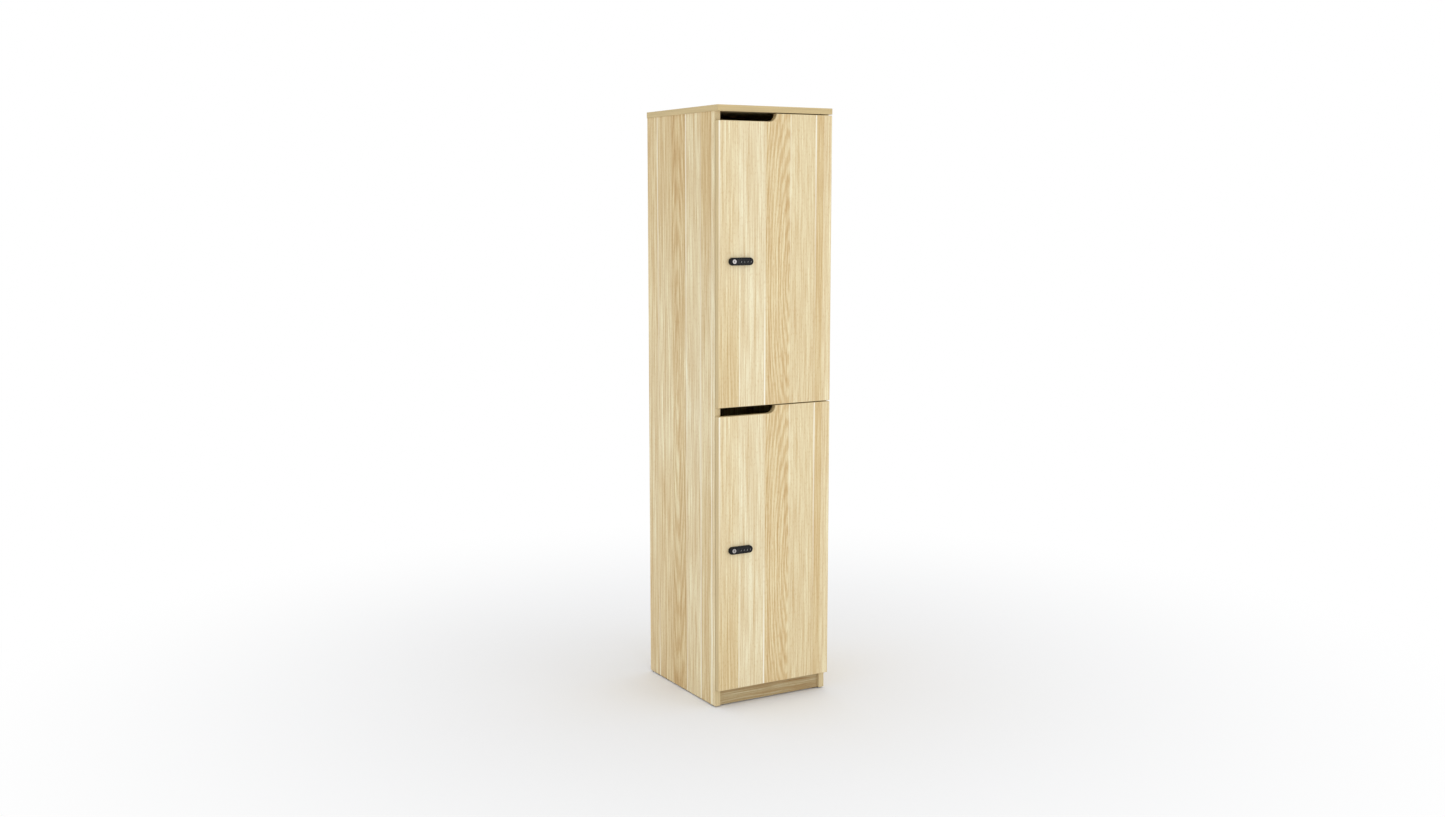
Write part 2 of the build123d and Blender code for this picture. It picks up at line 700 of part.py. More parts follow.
def save_door(name, low):
    """A door with its hinges and its lock."""
    z = low + DOOR_HEIGHT / 2
    save(f"{name}_door_panel", door_panel(low))
    save(f"{name}_door_edge_band", door_band(low))
    for place, height in zip(("low", "top"), hinge_pair(low)):
        save(f"{name}_{place}_hinge_cup", hinge_cup(height))
        save(f"{name}_{place}_hinge_arm", hinge_arm(height))
    save(f"{name}_cup_screws", cup_screws(low))
    save(f"{name}_hinge_pins", hinge_pins(low))
    save(f"{name}_lock_housing", lock_housing(z))
    save(f"{name}_lock_face", lock_face(z))
    save(f"{name}_lock_nut", lock_nut(z))
    save(f"{name}_dial_shaft", dial_shaft(z))
    save(f"{name}_knob", knob(z))
    save(f"{name}_key_plug", key_plug(z))
    save(f"{name}_latch", latch(z))
    save(f"{name}_latch_bolt", latch_bolt(z))
    for number, x in enumerate(DIAL_X, start=1):
        save(f"{name}_dial_{number}", lock_dial(x, z))


os.makedirs("parts", exist_ok=True)
save_carcass()
for door_name, door_low in zip(("lower", "upper"), door_levels()):
    save_door(door_name, door_low)
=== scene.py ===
"""A tall oak-faced locker with stacked compartments, letter slots and combination locks.

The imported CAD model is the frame. This script gives each of its pieces a finish, lays raised numbers round
the locks' dials, and sets a plain studio round the locker.
"""

import logging
import math
from dataclasses import dataclass
from enum import Enum

import bmesh
import bpy
from mathutils import Matrix, Vector


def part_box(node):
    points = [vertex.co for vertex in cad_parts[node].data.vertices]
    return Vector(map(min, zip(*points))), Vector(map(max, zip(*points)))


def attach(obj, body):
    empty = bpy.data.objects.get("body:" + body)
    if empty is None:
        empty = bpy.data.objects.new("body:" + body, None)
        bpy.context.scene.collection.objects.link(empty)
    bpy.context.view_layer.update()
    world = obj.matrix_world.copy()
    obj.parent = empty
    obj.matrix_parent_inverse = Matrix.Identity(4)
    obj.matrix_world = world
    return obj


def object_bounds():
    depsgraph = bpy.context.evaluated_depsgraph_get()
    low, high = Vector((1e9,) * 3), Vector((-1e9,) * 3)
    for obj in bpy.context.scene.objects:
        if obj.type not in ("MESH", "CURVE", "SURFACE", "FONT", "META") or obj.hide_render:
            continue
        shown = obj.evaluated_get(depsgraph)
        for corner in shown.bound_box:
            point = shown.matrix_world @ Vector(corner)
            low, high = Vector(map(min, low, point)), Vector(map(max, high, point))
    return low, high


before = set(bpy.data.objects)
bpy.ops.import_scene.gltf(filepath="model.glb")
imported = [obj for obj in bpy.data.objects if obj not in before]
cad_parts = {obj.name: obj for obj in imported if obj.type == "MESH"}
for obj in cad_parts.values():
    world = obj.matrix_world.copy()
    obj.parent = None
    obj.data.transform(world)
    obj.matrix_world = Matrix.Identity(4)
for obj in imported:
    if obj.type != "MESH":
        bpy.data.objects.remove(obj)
CAD_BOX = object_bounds()

MM = 0.001
LOG = logging.getLogger("locker")

DOOR_NAMES = ("lower", "upper")
DIALS_PER_LOCK = 4
NUMBERS_PER_DIAL = 10

# Nearly all of a noise lies in this part of its range.
NOISE_SPAN = (0.30, 0.70)
# The refractive index of most plastics and lacquers.
PLASTIC_IOR = 1.5

Colour = tuple[float, float, float, float]
Place = tuple[float, float, float]
Socket = bpy.types.NodeSocket


def linear(colour: str) -> Colour:
    """Turn an sRGB hex colour into linear light.

    Args:
        colour: Six hex digits after a hash sign.

    Returns:
        Linear red, green and blue, and an alpha of one.
    """
    parts = [int(colour[i : i + 2], 16) / 255 for i in (1, 3, 5)]
    light = [c / 12.92 if c <= 0.04045 else ((c + 0.055) / 1.055) ** 2.4 for c in parts]
    return (*light, 1.0)


class Nodes:
    """The node tree of a material or of the world, with one way to add a node to it."""

    def __init__(self, owner: bpy.types.Material | bpy.types.World) -> None:
        """Give the owner an empty tree.

        Args:
            owner: The material or world.
        """
        owner.use_nodes = True
        self.tree = owner.node_tree
        self.tree.nodes.clear()

    def add(
        self,
        kind: str,
        links: dict[str | int, Socket] | None = None,
        values: dict[str | int, object] | None = None,
        **settings: object,
    ) -> bpy.types.Node:
        """Add a node.

        Args:
            kind: The node's type name.
            links: Input name or number, to the output socket that feeds it.
            values: Input name or number, to its constant value.
            **settings: Properties of the node itself.

        Returns:
            The new node.
        """
        node = self.tree.nodes.new(kind)
        for name, setting in settings.items():
            setattr(node, name, setting)
        for name, value in (values or {}).items():
            node.inputs[name].default_value = value
        for name, socket in (links or {}).items():
            self.tree.links.new(socket, node.inputs[name])
        return node


class Lie(Enum):
    """Which way a board lies: the axes across its face, along its grain and through its thickness."""

    FRONT_UPRIGHT = ("X", "Z", "Y")
    SIDE_UPRIGHT = ("Y", "Z", "X")
    LEVEL = ("Y", "X", "Z")
    FRONT_LEVEL = ("Z", "X", "Y")


class Lines(Enum):
    """The axis that the fine lines of a plain wood are stacked along."""

    ACROSS_WIDTH = "X"
    ACROSS_DEPTH = "Y"
    ACROSS_HEIGHT = "Z"


class Tone(Enum):
    """The mean colours of the printed staves, from the palest to the brownest."""

    PALE = "#E4D5B0"
    CREAM = "#E2D1A9"
    WHEAT = "#DFCDA4"
    STRAW = "#DCC79B"
    HONEY = "#D8C295"
    TAN = "#D4BB8B"
    # The brownest tone is the rails' brown wood, darkened further as painted shade.
    BROWN = "#B5A17A"


@dataclass(frozen=True)
class Stave:
    """One strip of the printed oak.

    Attributes:
        width_mm: Its width across the grain.
        tones: Its tones at even steps along the grain, from the low end to the high end.
        flame: How strongly the flame figure shows, from 0 to 1.
    """

    width_mm: float
    tones: tuple[Tone, ...]
    flame: float = 0.0


@dataclass(frozen=True)
class Seam:
    """A pale line beside a joint between staves, which fades along the grain.

    Attributes:
        at_mm: Where it lies across the grain.
        half_mm: Half its width.
        full_mm: Where along the grain it is brightest.
        gone_mm: Where along the grain it has faded out.
        strength: How much of the pale colour shows at its brightest.
    """

    at_mm: float
    half_mm: float
    full_mm: float
    gone_mm: float
    strength: float


@dataclass(frozen=True)
class Flame:
    """The nested arches of a stave that was sawn flat.

    Attributes:
        centre_mm: Their middle, across the grain and along it.
        ring_mm: Their spacing across the grain.
        stretch: How many times longer than wide they are.
    """

    centre_mm: tuple[float, float]
    ring_mm: float
    stretch: float


@dataclass(frozen=True)
class Vein:
    """One size of grain in the print.

    Attributes:
        size_mm: The size of its cells, across the grain and along it.
        depth: How far it lightens and darkens the tone.
        span: The part of the noise that it uses.
    """

    size_mm: tuple[float, float]
    depth: float
    span: tuple[float, float] = NOISE_SPAN


@dataclass(frozen=True)
class Decor:
    """One sheet of the printed oak, and how its boards are cut from it.

    Attributes:
        lie: Which way its boards lie.
        staves: Its staves, from the low edge of a board.
        seams: Its pale lines.
        flame: Its flame figure, if a stave shows one.
        contrast: How strongly its veins show.
    """

    lie: Lie
    staves: tuple[Stave, ...]
    seams: tuple[Seam, ...] = ()
    flame: Flame | None = None
    contrast: float = 1.0


@dataclass(frozen=True)
class OakMelamine:
    """Melamine-faced chipboard with a printed oak decor of glued staves.

    The print gives flat, silky colour with fine upright grain, and each stave has its own tone. The paper is
    pressed with shallow pores, which soften the sheen along the grain. Cut edges that have no edging show the
    brown chips of the core.

    Attributes:
        name: The material's name.
        decor: Its print.
        origin_mm: Where the print starts, along X, Y and Z.
        length_mm: How far it runs along the grain.
        shift: Moves the fine grain, so that boards differ.
    """

    name: str
    decor: Decor
    origin_mm: Place
    length_mm: float
    shift: float = 0.0

    VEINS = (
        Vein((2.6, 130.0), 0.17),
        Vein((5.5, 420.0), 0.15),
        Vein((13.0, 1100.0), 0.10),
        Vein((45.0, 260.0), 0.04),
    )
    # The real pores are finer than this. They are drawn as coarse as they need to be to show.
    PORES = Vein((2.2, 12.0), 0.22, (0.54, 0.76))
    PORE_DEEP_MM = 0.15
    PORE_BUMP = 0.15
    GRAIN_LOOK = {"Scale": 1.0, "Detail": 2.0, "Roughness": 0.55}
    # A darker vein is also a browner one, so it takes most from the blue.
    VEIN_TINT = (0.6, 1.0, 1.5)
    # The veins wander from side to side by this much, over this far.
    SWAY_MM = 14.0
    SWAY_SIZE_MM = (70.0, 420.0)
    # Each stave's veins come from elsewhere along the grain: this share of a long way for each stave.
    STAVE_JUMP = 0.61
    STAVE_JUMP_MM = 4000.0
    # Each kind of figure takes its noise from its own place.
    VEIN_SEED_STEP = 7.0
    PORE_SEED = 31.0
    DASH_SEED = 57.0
    SWAY_SEED = 83.0
    # The ring pattern repeats every 2 pi / 20 of its units.
    RING_UNIT = 2 * math.pi / 20
    RING_LOOK = {"Scale": 1.0, "Distortion": 4.0, "Detail": 2.0, "Detail Scale": 1.6, "Detail Roughness": 0.6}
    RING_SPAN = (0.05, 0.5)
    RING_DEPTHS = (0.08, -0.2)
    DASH_MM = (3.0, 22.0)
    SEAM_COLOUR = "#FBF8E8"
    # A face that turns away from the print by more than this is a cut edge.
    EDGE_FACING = 0.5
    CHIP_MM = 2.2
    CHIP_DARK = "#8F744F"
    CHIP_LIGHT = "#CDB488"
    # Hard resin with a soft sheen.
    ROUGHNESS = 0.5
    GLOSS = 0.25

    def build(self) -> bpy.types.Material:
        """Make the material.

        Returns:
            The new material.
        """
        material = bpy.data.materials.new(self.name)
        nodes = Nodes(material)
        place = nodes.add("ShaderNodeTexCoord").outputs
        across, along, through = self._axes(nodes, place["Object"])
        grained = self._broken_grain(nodes, across, along, through)
        colour = self._stave_colours(nodes, across, along)
        for number, vein in enumerate(self.VEINS):
            noise = self._noise(nodes, grained, vein.size_mm, self.VEIN_SEED_STEP * number)
            depth = self.decor.contrast * vein.depth
            colour = self._shade(nodes, colour, noise, vein.span, (-depth, depth))
        pores = self._noise(nodes, grained, self.PORES.size_mm, self.PORE_SEED)
        colour = self._shade(nodes, colour, pores, self.PORES.span, (0.0, -self.PORES.depth))
        if self.decor.flame:
            colour = self._flame(nodes, colour, across, along, grained)
        for seam in self.decor.seams:
            colour = self._seam(nodes, colour, seam, across, along)
        colour = self._core(nodes, colour, place)
        relief = {"Strength": self.PORE_BUMP, "Distance": -self.PORE_DEEP_MM * MM}
        bump = nodes.add("ShaderNodeBump", {"Height": pores}, relief)
        shader = nodes.add(
            "ShaderNodeBsdfPrincipled",
            {"Base Color": colour, "Normal": bump.outputs[0]},
            {"Roughness": self.ROUGHNESS, "IOR": PLASTIC_IOR, "Specular IOR Level": self.GLOSS},
        )
        nodes.add("ShaderNodeOutputMaterial", {"Surface": shader.outputs[0]})
        return material

    def _axes(self, nodes: Nodes, place: Socket) -> tuple[Socket, ...]:
        """Measure from the start of the print.

        Args:
            nodes: The material's nodes.
            place: The place on the piece, in metres.

        Returns:
            The places across the grain, along it and through the board, in millimetres.
        """
        scaled = nodes.add("ShaderNodeVectorMath", {0: place}, {1: (1 / MM,) * 3}, operation="MULTIPLY")
        origin = {1: self.origin_mm}
        start = nodes.add("ShaderNodeVectorMath", {0: scaled.outputs[0]}, origin, operation="SUBTRACT")
        parts = nodes.add("ShaderNodeSeparateXYZ", {0: start.outputs[0]}).outputs
        return tuple(parts[axis] for axis in self.decor.lie.value)

    def _broken_grain(self, nodes: Nodes, across: Socket, along: Socket, through: Socket) -> Socket:
        """Lay out the grain so that it wanders, and so that no vein crosses a joint.

        Args:
            nodes: The material's nodes.
            across: The place across the grain.
            along: The place along it.
            through: The place through the board.

        Returns:
            A vector that jumps along the grain at each joint and sways across it.
        """
        jumps = [self.STAVE_JUMP * number % 1 for number in range(len(self.decor.staves))]
        jump = self._ramp(nodes, across, [(value, value, value, 1.0) for value in jumps])
        far = {1: self.STAVE_JUMP_MM}
        moved = nodes.add("ShaderNodeMath", {0: jump, 2: along}, far, operation="MULTIPLY_ADD").outputs[0]
        straight = nodes.add("ShaderNodeCombineXYZ", {0: across, 1: moved, 2: through}).outputs[0]
        sway = self._noise(nodes, straight, self.SWAY_SIZE_MM, self.SWAY_SEED)
        reach = {0: (self.SWAY_MM, 0, 0)}
        offset = nodes.add("ShaderNodeVectorMath", {"Scale": sway}, reach, operation="SCALE").outputs[0]
        return nodes.add("ShaderNodeVectorMath", {0: straight, 1: offset}, operation="ADD").outputs[0]

    def _noise(self, nodes: Nodes, flat: Socket, size_mm: tuple[float, float], seed: float) -> Socket:
        """Add noise that is stretched along the grain.

        Args:
            nodes: The material's nodes.
            flat: The place across, along and through the board.
            size_mm: The size of its cells, across the grain and along it.
            seed: Which part of the noise it takes.

        Returns:
            The noise, from 0 to 1.
        """
        shrink = (1 / size_mm[0], 1 / size_mm[1], 1 / size_mm[0])
        offset = (seed + self.shift, seed - self.shift, seed)
        scale = {1: shrink, 2: offset}
        moved = nodes.add("ShaderNodeVectorMath", {0: flat}, scale, operation="MULTIPLY_ADD").outputs[0]
        return nodes.add("ShaderNodeTexNoise", {"Vector": moved}, self.GRAIN_LOOK).outputs["Fac"]

    def _shade(
        self,
        nodes: Nodes,
        colour: Socket,
        fac: Socket,
        span: tuple[float, float],
        depths: tuple[float, float],
    ) -> Socket:
        """Lighten or darken a colour.

        Args:
            nodes: The material's nodes.
            colour: The colour.
            fac: The value that drives it.
            span: The two values at which it starts and ends.
            depths: How much it adds at each of these two.

        Returns:
            The new colour.
        """
        amount = nodes.add("ShaderNodeMapRange", {"Value": fac}, {"From Min": span[0], "From Max": span[1]})
        low, high = (tuple(1 + depth * tint for tint in self.VEIN_TINT) for depth in depths)
        level = self._mix(nodes, amount.outputs[0], low, high)
        return nodes.add("ShaderNodeVectorMath", {0: colour, 1: level}, operation="MULTIPLY").outputs[0]

    def _mix(self, nodes: Nodes, amount: Socket, first: Socket | tuple, second: Socket | tuple) -> Socket:
        """Mix two colours, each a socket or a constant.

        Args:
            nodes: The material's nodes.
            amount: How much of the second colour shows.
            first: The first colour.
            second: The second colour.

        Returns:
            The mixed colour.
        """
        # Inputs 4 and 5 of a mix node are its two vectors, and output 1 is its vector result.
        ends = {4: first, 5: second}
        links = {key: end for key, end in ends.items() if isinstance(end, Socket)}
        values = {key: tuple(end)[:3] for key, end in ends.items() if key not in links}
        return nodes.add("ShaderNodeMix", {"Factor": amount, **links}, values, data_type="VECTOR").outputs[1]

    def _ramp(self, nodes: Nodes, across: Socket, colours: list[Colour]) -> Socket:
        """Give each stave one flat colour.

        Args:
            nodes: The material's nodes.
            across: The place across the grain.
            colours: A colour for each stave.

        Returns:
            The colour of the stave at that place.
        """
        width = sum(stave.width_mm for stave in self.decor.staves)
        ratio = nodes.add("ShaderNodeMath", {0: across}, {1: width}, operation="DIVIDE").outputs[0]
        ramp = nodes.add("ShaderNodeValToRGB", {0: ratio})
        ramp.color_ramp.interpolation = "CONSTANT"
        steps = ramp.color_ramp.elements
        steps.remove(steps[1])
        start = 0.0
        for stave, colour in zip(self.decor.staves, colours):
            step = steps.new(start / width) if start else steps[0]
            step.color = colour
            start += stave.width_mm
        return ramp.outputs[0]

    def _stave_colours(self, nodes: Nodes, across: Socket, along: Socket) -> Socket:
        """Colour each stave, with tones that drift along it.

        Args:
            nodes: The material's nodes.
            across: The place across the grain.
            along: The place along it.

        Returns:
            The mean colour at that place.
        """
        staves = self.decor.staves
        levels = len(staves[0].tones)
        step = self.length_mm / levels
        colour = self._ramp(nodes, across, [linear(stave.tones[0].value) for stave in staves])
        for level in range(1, levels):
            above = self._ramp(nodes, across, [linear(stave.tones[level].value) for stave in staves])
            span = {"From Min": (level - 0.5) * step, "From Max": (level + 0.5) * step}
            rise = nodes.add("ShaderNodeMapRange", {"Value": along}, span, interpolation_type="SMOOTHSTEP")
            colour = self._mix(nodes, rise.outputs[0], colour, above)
        return colour

    def _flame(self, nodes: Nodes, colour: Socket, across: Socket, along: Socket, grained: Socket) -> Socket:
        """Draw the flame figure, broken into dashes, in the staves that show it.

        Args:
            nodes: The material's nodes.
            colour: The colour under it.
            across: The place across the grain.
            along: The place along it.
            grained: The vector that the grain follows.

        Returns:
            The figured colour.
        """
        flame = self.decor.flame
        flat = nodes.add("ShaderNodeCombineXYZ", {0: across, 1: along}).outputs[0]
        unit = self.RING_UNIT / flame.ring_mm
        shrink = (unit, unit / flame.stretch, 0.0)
        centre = tuple(-place * scale for place, scale in zip((*flame.centre_mm, 0.0), shrink))
        scale = {1: shrink, 2: centre}
        rings = nodes.add("ShaderNodeVectorMath", {0: flat}, scale, operation="MULTIPLY_ADD").outputs[0]
        kind = {"wave_type": "RINGS", "rings_direction": "Z"}
        wave = nodes.add("ShaderNodeTexWave", {"Vector": rings}, self.RING_LOOK, **kind).outputs["Fac"]
        dashes = self._noise(nodes, grained, self.DASH_MM, self.DASH_SEED)
        broken = nodes.add("ShaderNodeMath", {0: wave, 1: dashes}, operation="MULTIPLY").outputs[0]
        shaded = self._shade(nodes, colour, broken, self.RING_SPAN, self.RING_DEPTHS)
        strength = self._ramp(nodes, across, [(stave.flame,) * 3 + (1.0,) for stave in self.decor.staves])
        return self._mix(nodes, strength, colour, shaded)

    def _seam(self, nodes: Nodes, colour: Socket, seam: Seam, across: Socket, along: Socket) -> Socket:
        """Lay one pale line over a colour.

        Args:
            nodes: The material's nodes.
            colour: The colour under it.
            seam: The line.
            across: The place across the grain.
            along: The place along it.

        Returns:
            The colour with the line on it.
        """
        away = nodes.add("ShaderNodeMath", {0: across}, {1: seam.at_mm}, operation="SUBTRACT").outputs[0]
        near = nodes.add("ShaderNodeMath", {0: away}, operation="ABSOLUTE").outputs[0]
        sides = {"From Min": 0.0, "From Max": seam.half_mm, "To Min": 1.0, "To Max": 0.0}
        line = nodes.add("ShaderNodeMapRange", {"Value": near}, sides, interpolation_type="SMOOTHSTEP")
        ends = {"From Min": seam.full_mm, "From Max": seam.gone_mm, "To Min": seam.strength, "To Max": 0.0}
        fade = nodes.add("ShaderNodeMapRange", {"Value": along}, ends)
        amount = nodes.add("ShaderNodeMath", {0: line.outputs[0], 1: fade.outputs[0]}, operation="MULTIPLY")
        return self._mix(nodes, amount.outputs[0], colour, linear(self.SEAM_COLOUR))

    def _core(self, nodes: Nodes, colour: Socket, place: bpy.types.bpy_prop_collection) -> Socket:
        """Show the chipboard core on faces that don't lie with the print.

        Args:
            nodes: The material's nodes.
            colour: The colour of the print.
            place: The outputs of the texture coordinates.

        Returns:
            The print's colour on the faces, and the chips' on the edges.
        """
        facing = nodes.add("ShaderNodeSeparateXYZ", {0: place["Normal"]}).outputs[self.decor.lie.value[2]]
        flatness = nodes.add("ShaderNodeMath", {0: facing}, operation="ABSOLUTE").outputs[0]
        limit = {1: self.EDGE_FACING}
        edge = nodes.add("ShaderNodeMath", {0: flatness}, limit, operation="LESS_THAN").outputs[0]
        look = {"Scale": 1 / (self.CHIP_MM * MM), "Randomness": 1.0}
        chips = nodes.add("ShaderNodeTexVoronoi", {"Vector": place["Object"]}, look).outputs["Color"]
        tone = nodes.add("ShaderNodeSeparateColor", {0: chips}).outputs[0]
        core = self._mix(nodes, tone, linear(self.CHIP_DARK), linear(self.CHIP_LIGHT))
        return self._mix(nodes, edge, colour, core)


def swing(low: float, high: float) -> dict[str, float]:
    """The settings that stretch a noise over a range."""
    return {"From Min": NOISE_SPAN[0], "From Max": NOISE_SPAN[1], "To Min": low, "To Max": high}


@dataclass(frozen=True)
class LinedWood:
    """Plain wood, or a printed foil of it, with fine lines that run along it.

    The lines and the broader tones under them are faint, so from a step away it is one even tan with the dull
    sheen of a sealed surface.

    Attributes:
        name: The material's name.
        lines: The axis that the lines are stacked along.
        colour: Its mean colour.
    """

    name: str
    lines: Lines
    colour: str

    # The spacing and the depth of its fine lines, and of its broad tones.
    LAYERS = ((1.3, 0.10), (5.0, 0.06))
    RUN_MM = 150.0
    DETAIL = 3.0
    BUMP = 0.1
    DEEP_MM = 0.1
    ROUGHNESS = 0.45
    GLOSS = 0.3

    def build(self) -> bpy.types.Material:
        """Make the material.

        Returns:
            The new material.
        """
        material = bpy.data.materials.new(self.name)
        nodes = Nodes(material)
        place = nodes.add("ShaderNodeTexCoord").outputs["Object"]
        levels = []
        for pitch_mm, depth in self.LAYERS:
            shrink = [1 / (self.RUN_MM * MM)] * 3
            shrink["XYZ".index(self.lines.value)] = 1 / (pitch_mm * MM)
            scaled = nodes.add("ShaderNodeVectorMath", {0: place}, {1: shrink}, operation="MULTIPLY")
            look = {"Scale": 1.0, "Detail": self.DETAIL}
            lines = nodes.add("ShaderNodeTexNoise", {"Vector": scaled.outputs[0]}, look).outputs["Fac"]
            layer = nodes.add("ShaderNodeMapRange", {"Value": lines}, swing(1 - depth, 1 + depth))
            levels.append(layer.outputs[0])
        level = nodes.add("ShaderNodeMath", dict(enumerate(levels)), operation="MULTIPLY").outputs[0]
        base = {0: linear(self.colour)[:3]}
        colour = nodes.add("ShaderNodeVectorMath", {"Scale": level}, base, operation="SCALE").outputs[0]
        # The relief follows the last layer, the broad tones.
        relief = {"Strength": self.BUMP, "Distance": self.DEEP_MM * MM}
        bump = nodes.add("ShaderNodeBump", {"Height": lines}, relief)
        shader = nodes.add(
            "ShaderNodeBsdfPrincipled",
            {"Base Color": colour, "Normal": bump.outputs[0]},
            {"Roughness": self.ROUGHNESS, "IOR": PLASTIC_IOR, "Specular IOR Level": self.GLOSS},
        )
        nodes.add("ShaderNodeOutputMaterial", {"Surface": shader.outputs[0]})
        return material


@dataclass(frozen=True)
class MouldedPlastic:
    """Injection-moulded plastic from a spark-eroded mould: a fine even grain that spreads the highlight.

    Attributes:
        name: The material's name.
        colour: Its colour.
        roughness: How much it spreads a highlight.
    """

    name: str
    colour: str
    roughness: float

    GRAIN_MM = 0.35
    DETAIL = 2.0
    TONE_DEPTH = 0.12
    BUMP = 0.2
    DEEP_MM = 0.05
    GLOSS = 0.2

    def build(self) -> bpy.types.Material:
        """Make the material.

        Returns:
            The new material.
        """
        material = bpy.data.materials.new(self.name)
        nodes = Nodes(material)
        place = nodes.add("ShaderNodeTexCoord").outputs["Object"]
        look = {"Scale": 1 / (self.GRAIN_MM * MM), "Detail": self.DETAIL}
        grain = nodes.add("ShaderNodeTexNoise", {"Vector": place}, look).outputs["Fac"]
        limits = swing(1 - self.TONE_DEPTH, 1 + self.TONE_DEPTH)
        level = nodes.add("ShaderNodeMapRange", {"Value": grain}, limits).outputs[0]
        base = {0: linear(self.colour)[:3]}
        colour = nodes.add("ShaderNodeVectorMath", {"Scale": level}, base, operation="SCALE").outputs[0]
        relief = {"Strength": self.BUMP, "Distance": self.DEEP_MM * MM}
        bump = nodes.add("ShaderNodeBump", {"Height": grain}, relief)
        shader = nodes.add(
            "ShaderNodeBsdfPrincipled",
            {"Base Color": colour, "Normal": bump.outputs[0]},
            {"Roughness": self.roughness, "IOR": PLASTIC_IOR, "Specular IOR Level": self.GLOSS},
        )
        nodes.add("ShaderNodeOutputMaterial", {"Surface": shader.outputs[0]})
        return material


@dataclass(frozen=True)
class PlatedMetal:
    """Plated, ground or turned metal: a bright coat over fine tool marks, which break up its highlights.

    Attributes:
        name: The material's name.
        colour: The metal's colour.
        roughness: The middle of its roughness.
        mark_mm: The size of its marks along X, Y and Z.
    """

    name: str
    colour: str
    roughness: float
    mark_mm: Place = (1.2, 1.2, 1.2)

    DETAIL = 3.0
    ROUGH_DEPTH = 0.08
    DULLEST = 0.93
    BRIGHTEST = 1.05
    BUMP = 0.1
    DEEP_MM = 0.03

    def build(self) -> bpy.types.Material:
        """Make the material.

        Returns:
            The new material.
        """
        material = bpy.data.materials.new(self.name)
        nodes = Nodes(material)
        place = nodes.add("ShaderNodeTexCoord").outputs["Object"]
        shrink = [1 / (size * MM) for size in self.mark_mm]
        scaled = nodes.add("ShaderNodeVectorMath", {0: place}, {1: shrink}, operation="MULTIPLY").outputs[0]
        look = {"Scale": 1.0, "Detail": self.DETAIL}
        marks = nodes.add("ShaderNodeTexNoise", {"Vector": scaled}, look).outputs["Fac"]
        limits = {"To Min": self.roughness - self.ROUGH_DEPTH, "To Max": self.roughness + self.ROUGH_DEPTH}
        rough = nodes.add("ShaderNodeMapRange", {"Value": marks}, limits).outputs[0]
        limits = swing(self.DULLEST, self.BRIGHTEST)
        level = nodes.add("ShaderNodeMapRange", {"Value": marks}, limits).outputs[0]
        base = {0: linear(self.colour)[:3]}
        colour = nodes.add("ShaderNodeVectorMath", {"Scale": level}, base, operation="SCALE").outputs[0]
        relief = {"Strength": self.BUMP, "Distance": self.DEEP_MM * MM}
        bump = nodes.add("ShaderNodeBump", {"Height": marks}, relief)
        shader = nodes.add(
            "ShaderNodeBsdfPrincipled",
            {"Base Color": colour, "Roughness": rough, "Normal": bump.outputs[0]},
            {"Metallic": 1.0},
        )
        nodes.add("ShaderNodeOutputMaterial", {"Surface": shader.outputs[0]})
        return material


# The doors' print, from their left edge. Both doors are cut from the same repeat of the decor.
DOOR_STAVES = (
    Stave(71.5, (Tone.HONEY, Tone.CREAM, Tone.CREAM)),
    Stave(93.5, (Tone.PALE, Tone.PALE, Tone.PALE)),
    Stave(85.0, (Tone.STRAW, Tone.STRAW, Tone.STRAW), 0.9),
    Stave(95.0, (Tone.WHEAT, Tone.WHEAT, Tone.WHEAT), 0.15),
    Stave(25.0, (Tone.HONEY, Tone.TAN, Tone.TAN)),
    Stave(30.0, (Tone.CREAM, Tone.CREAM, Tone.CREAM)),
)
DOOR_SEAMS = (
    Seam(4.0, 4.0, 860.0, 330.0, 0.9),
    Seam(343.0, 3.5, 800.0, 250.0, 0.95),
    Seam(162.0, 3.6, 90.0, 400.0, 1.0),
    Seam(73.0, 2.5, 0.0, 360.0, 0.6),
    Seam(252.0, 3.0, 870.0, 350.0, 0.35),
)
DOOR_FLAME = Flame((250.0, 376.0), 9.0, 7.5)
# The sides' print, from their front edge.
SIDE_STAVES = (
    Stave(20.0, (Tone.CREAM, Tone.WHEAT, Tone.PALE, Tone.PALE, Tone.WHEAT)),
    Stave(67.0, (Tone.HONEY, Tone.HONEY, Tone.CREAM, Tone.WHEAT, Tone.TAN)),
    Stave(95.0, (Tone.CREAM, Tone.CREAM, Tone.PALE, Tone.CREAM, Tone.WHEAT)),
    Stave(88.0, (Tone.TAN, Tone.HONEY, Tone.STRAW, Tone.HONEY, Tone.TAN), 0.9),
    Stave(95.0, (Tone.STRAW, Tone.STRAW, Tone.CREAM, Tone.WHEAT, Tone.HONEY), 0.1),
    Stave(70.0, (Tone.STRAW, Tone.WHEAT, Tone.WHEAT, Tone.STRAW, Tone.HONEY)),
)
SIDE_SEAMS = (
    Seam(20.0, 4.5, 600.0, 1800.0, 0.8),
    Seam(87.0, 4.5, 700.0, 2000.0, 0.8),
    Seam(180.0, 4.5, 1750.0, 300.0, 0.8),
    Seam(178.0, 4.0, 0.0, 420.0, 0.7),
    Seam(366.0, 4.0, 1500.0, 700.0, 0.7),
    Seam(366.0, 4.0, 0.0, 400.0, 0.9),
)
SIDE_FLAME = Flame((236.0, 980.0), 11.0, 12.0)
LEVEL_STAVES = (
    Stave(60.0, (Tone.WHEAT, Tone.STRAW)),
    Stave(85.0, (Tone.HONEY, Tone.WHEAT)),
    Stave(95.0, (Tone.CREAM, Tone.CREAM)),
    Stave(80.0, (Tone.STRAW, Tone.HONEY)),
    Stave(140.0, (Tone.WHEAT, Tone.CREAM)),
)
# The rails' print is partly brown wood and partly painted shade: it is darkened for the shade that falls on
# the kick plate under the lower door's overhang.
RAIL_STAVES = (Stave(60.0, (Tone.BROWN, Tone.BROWN)),)

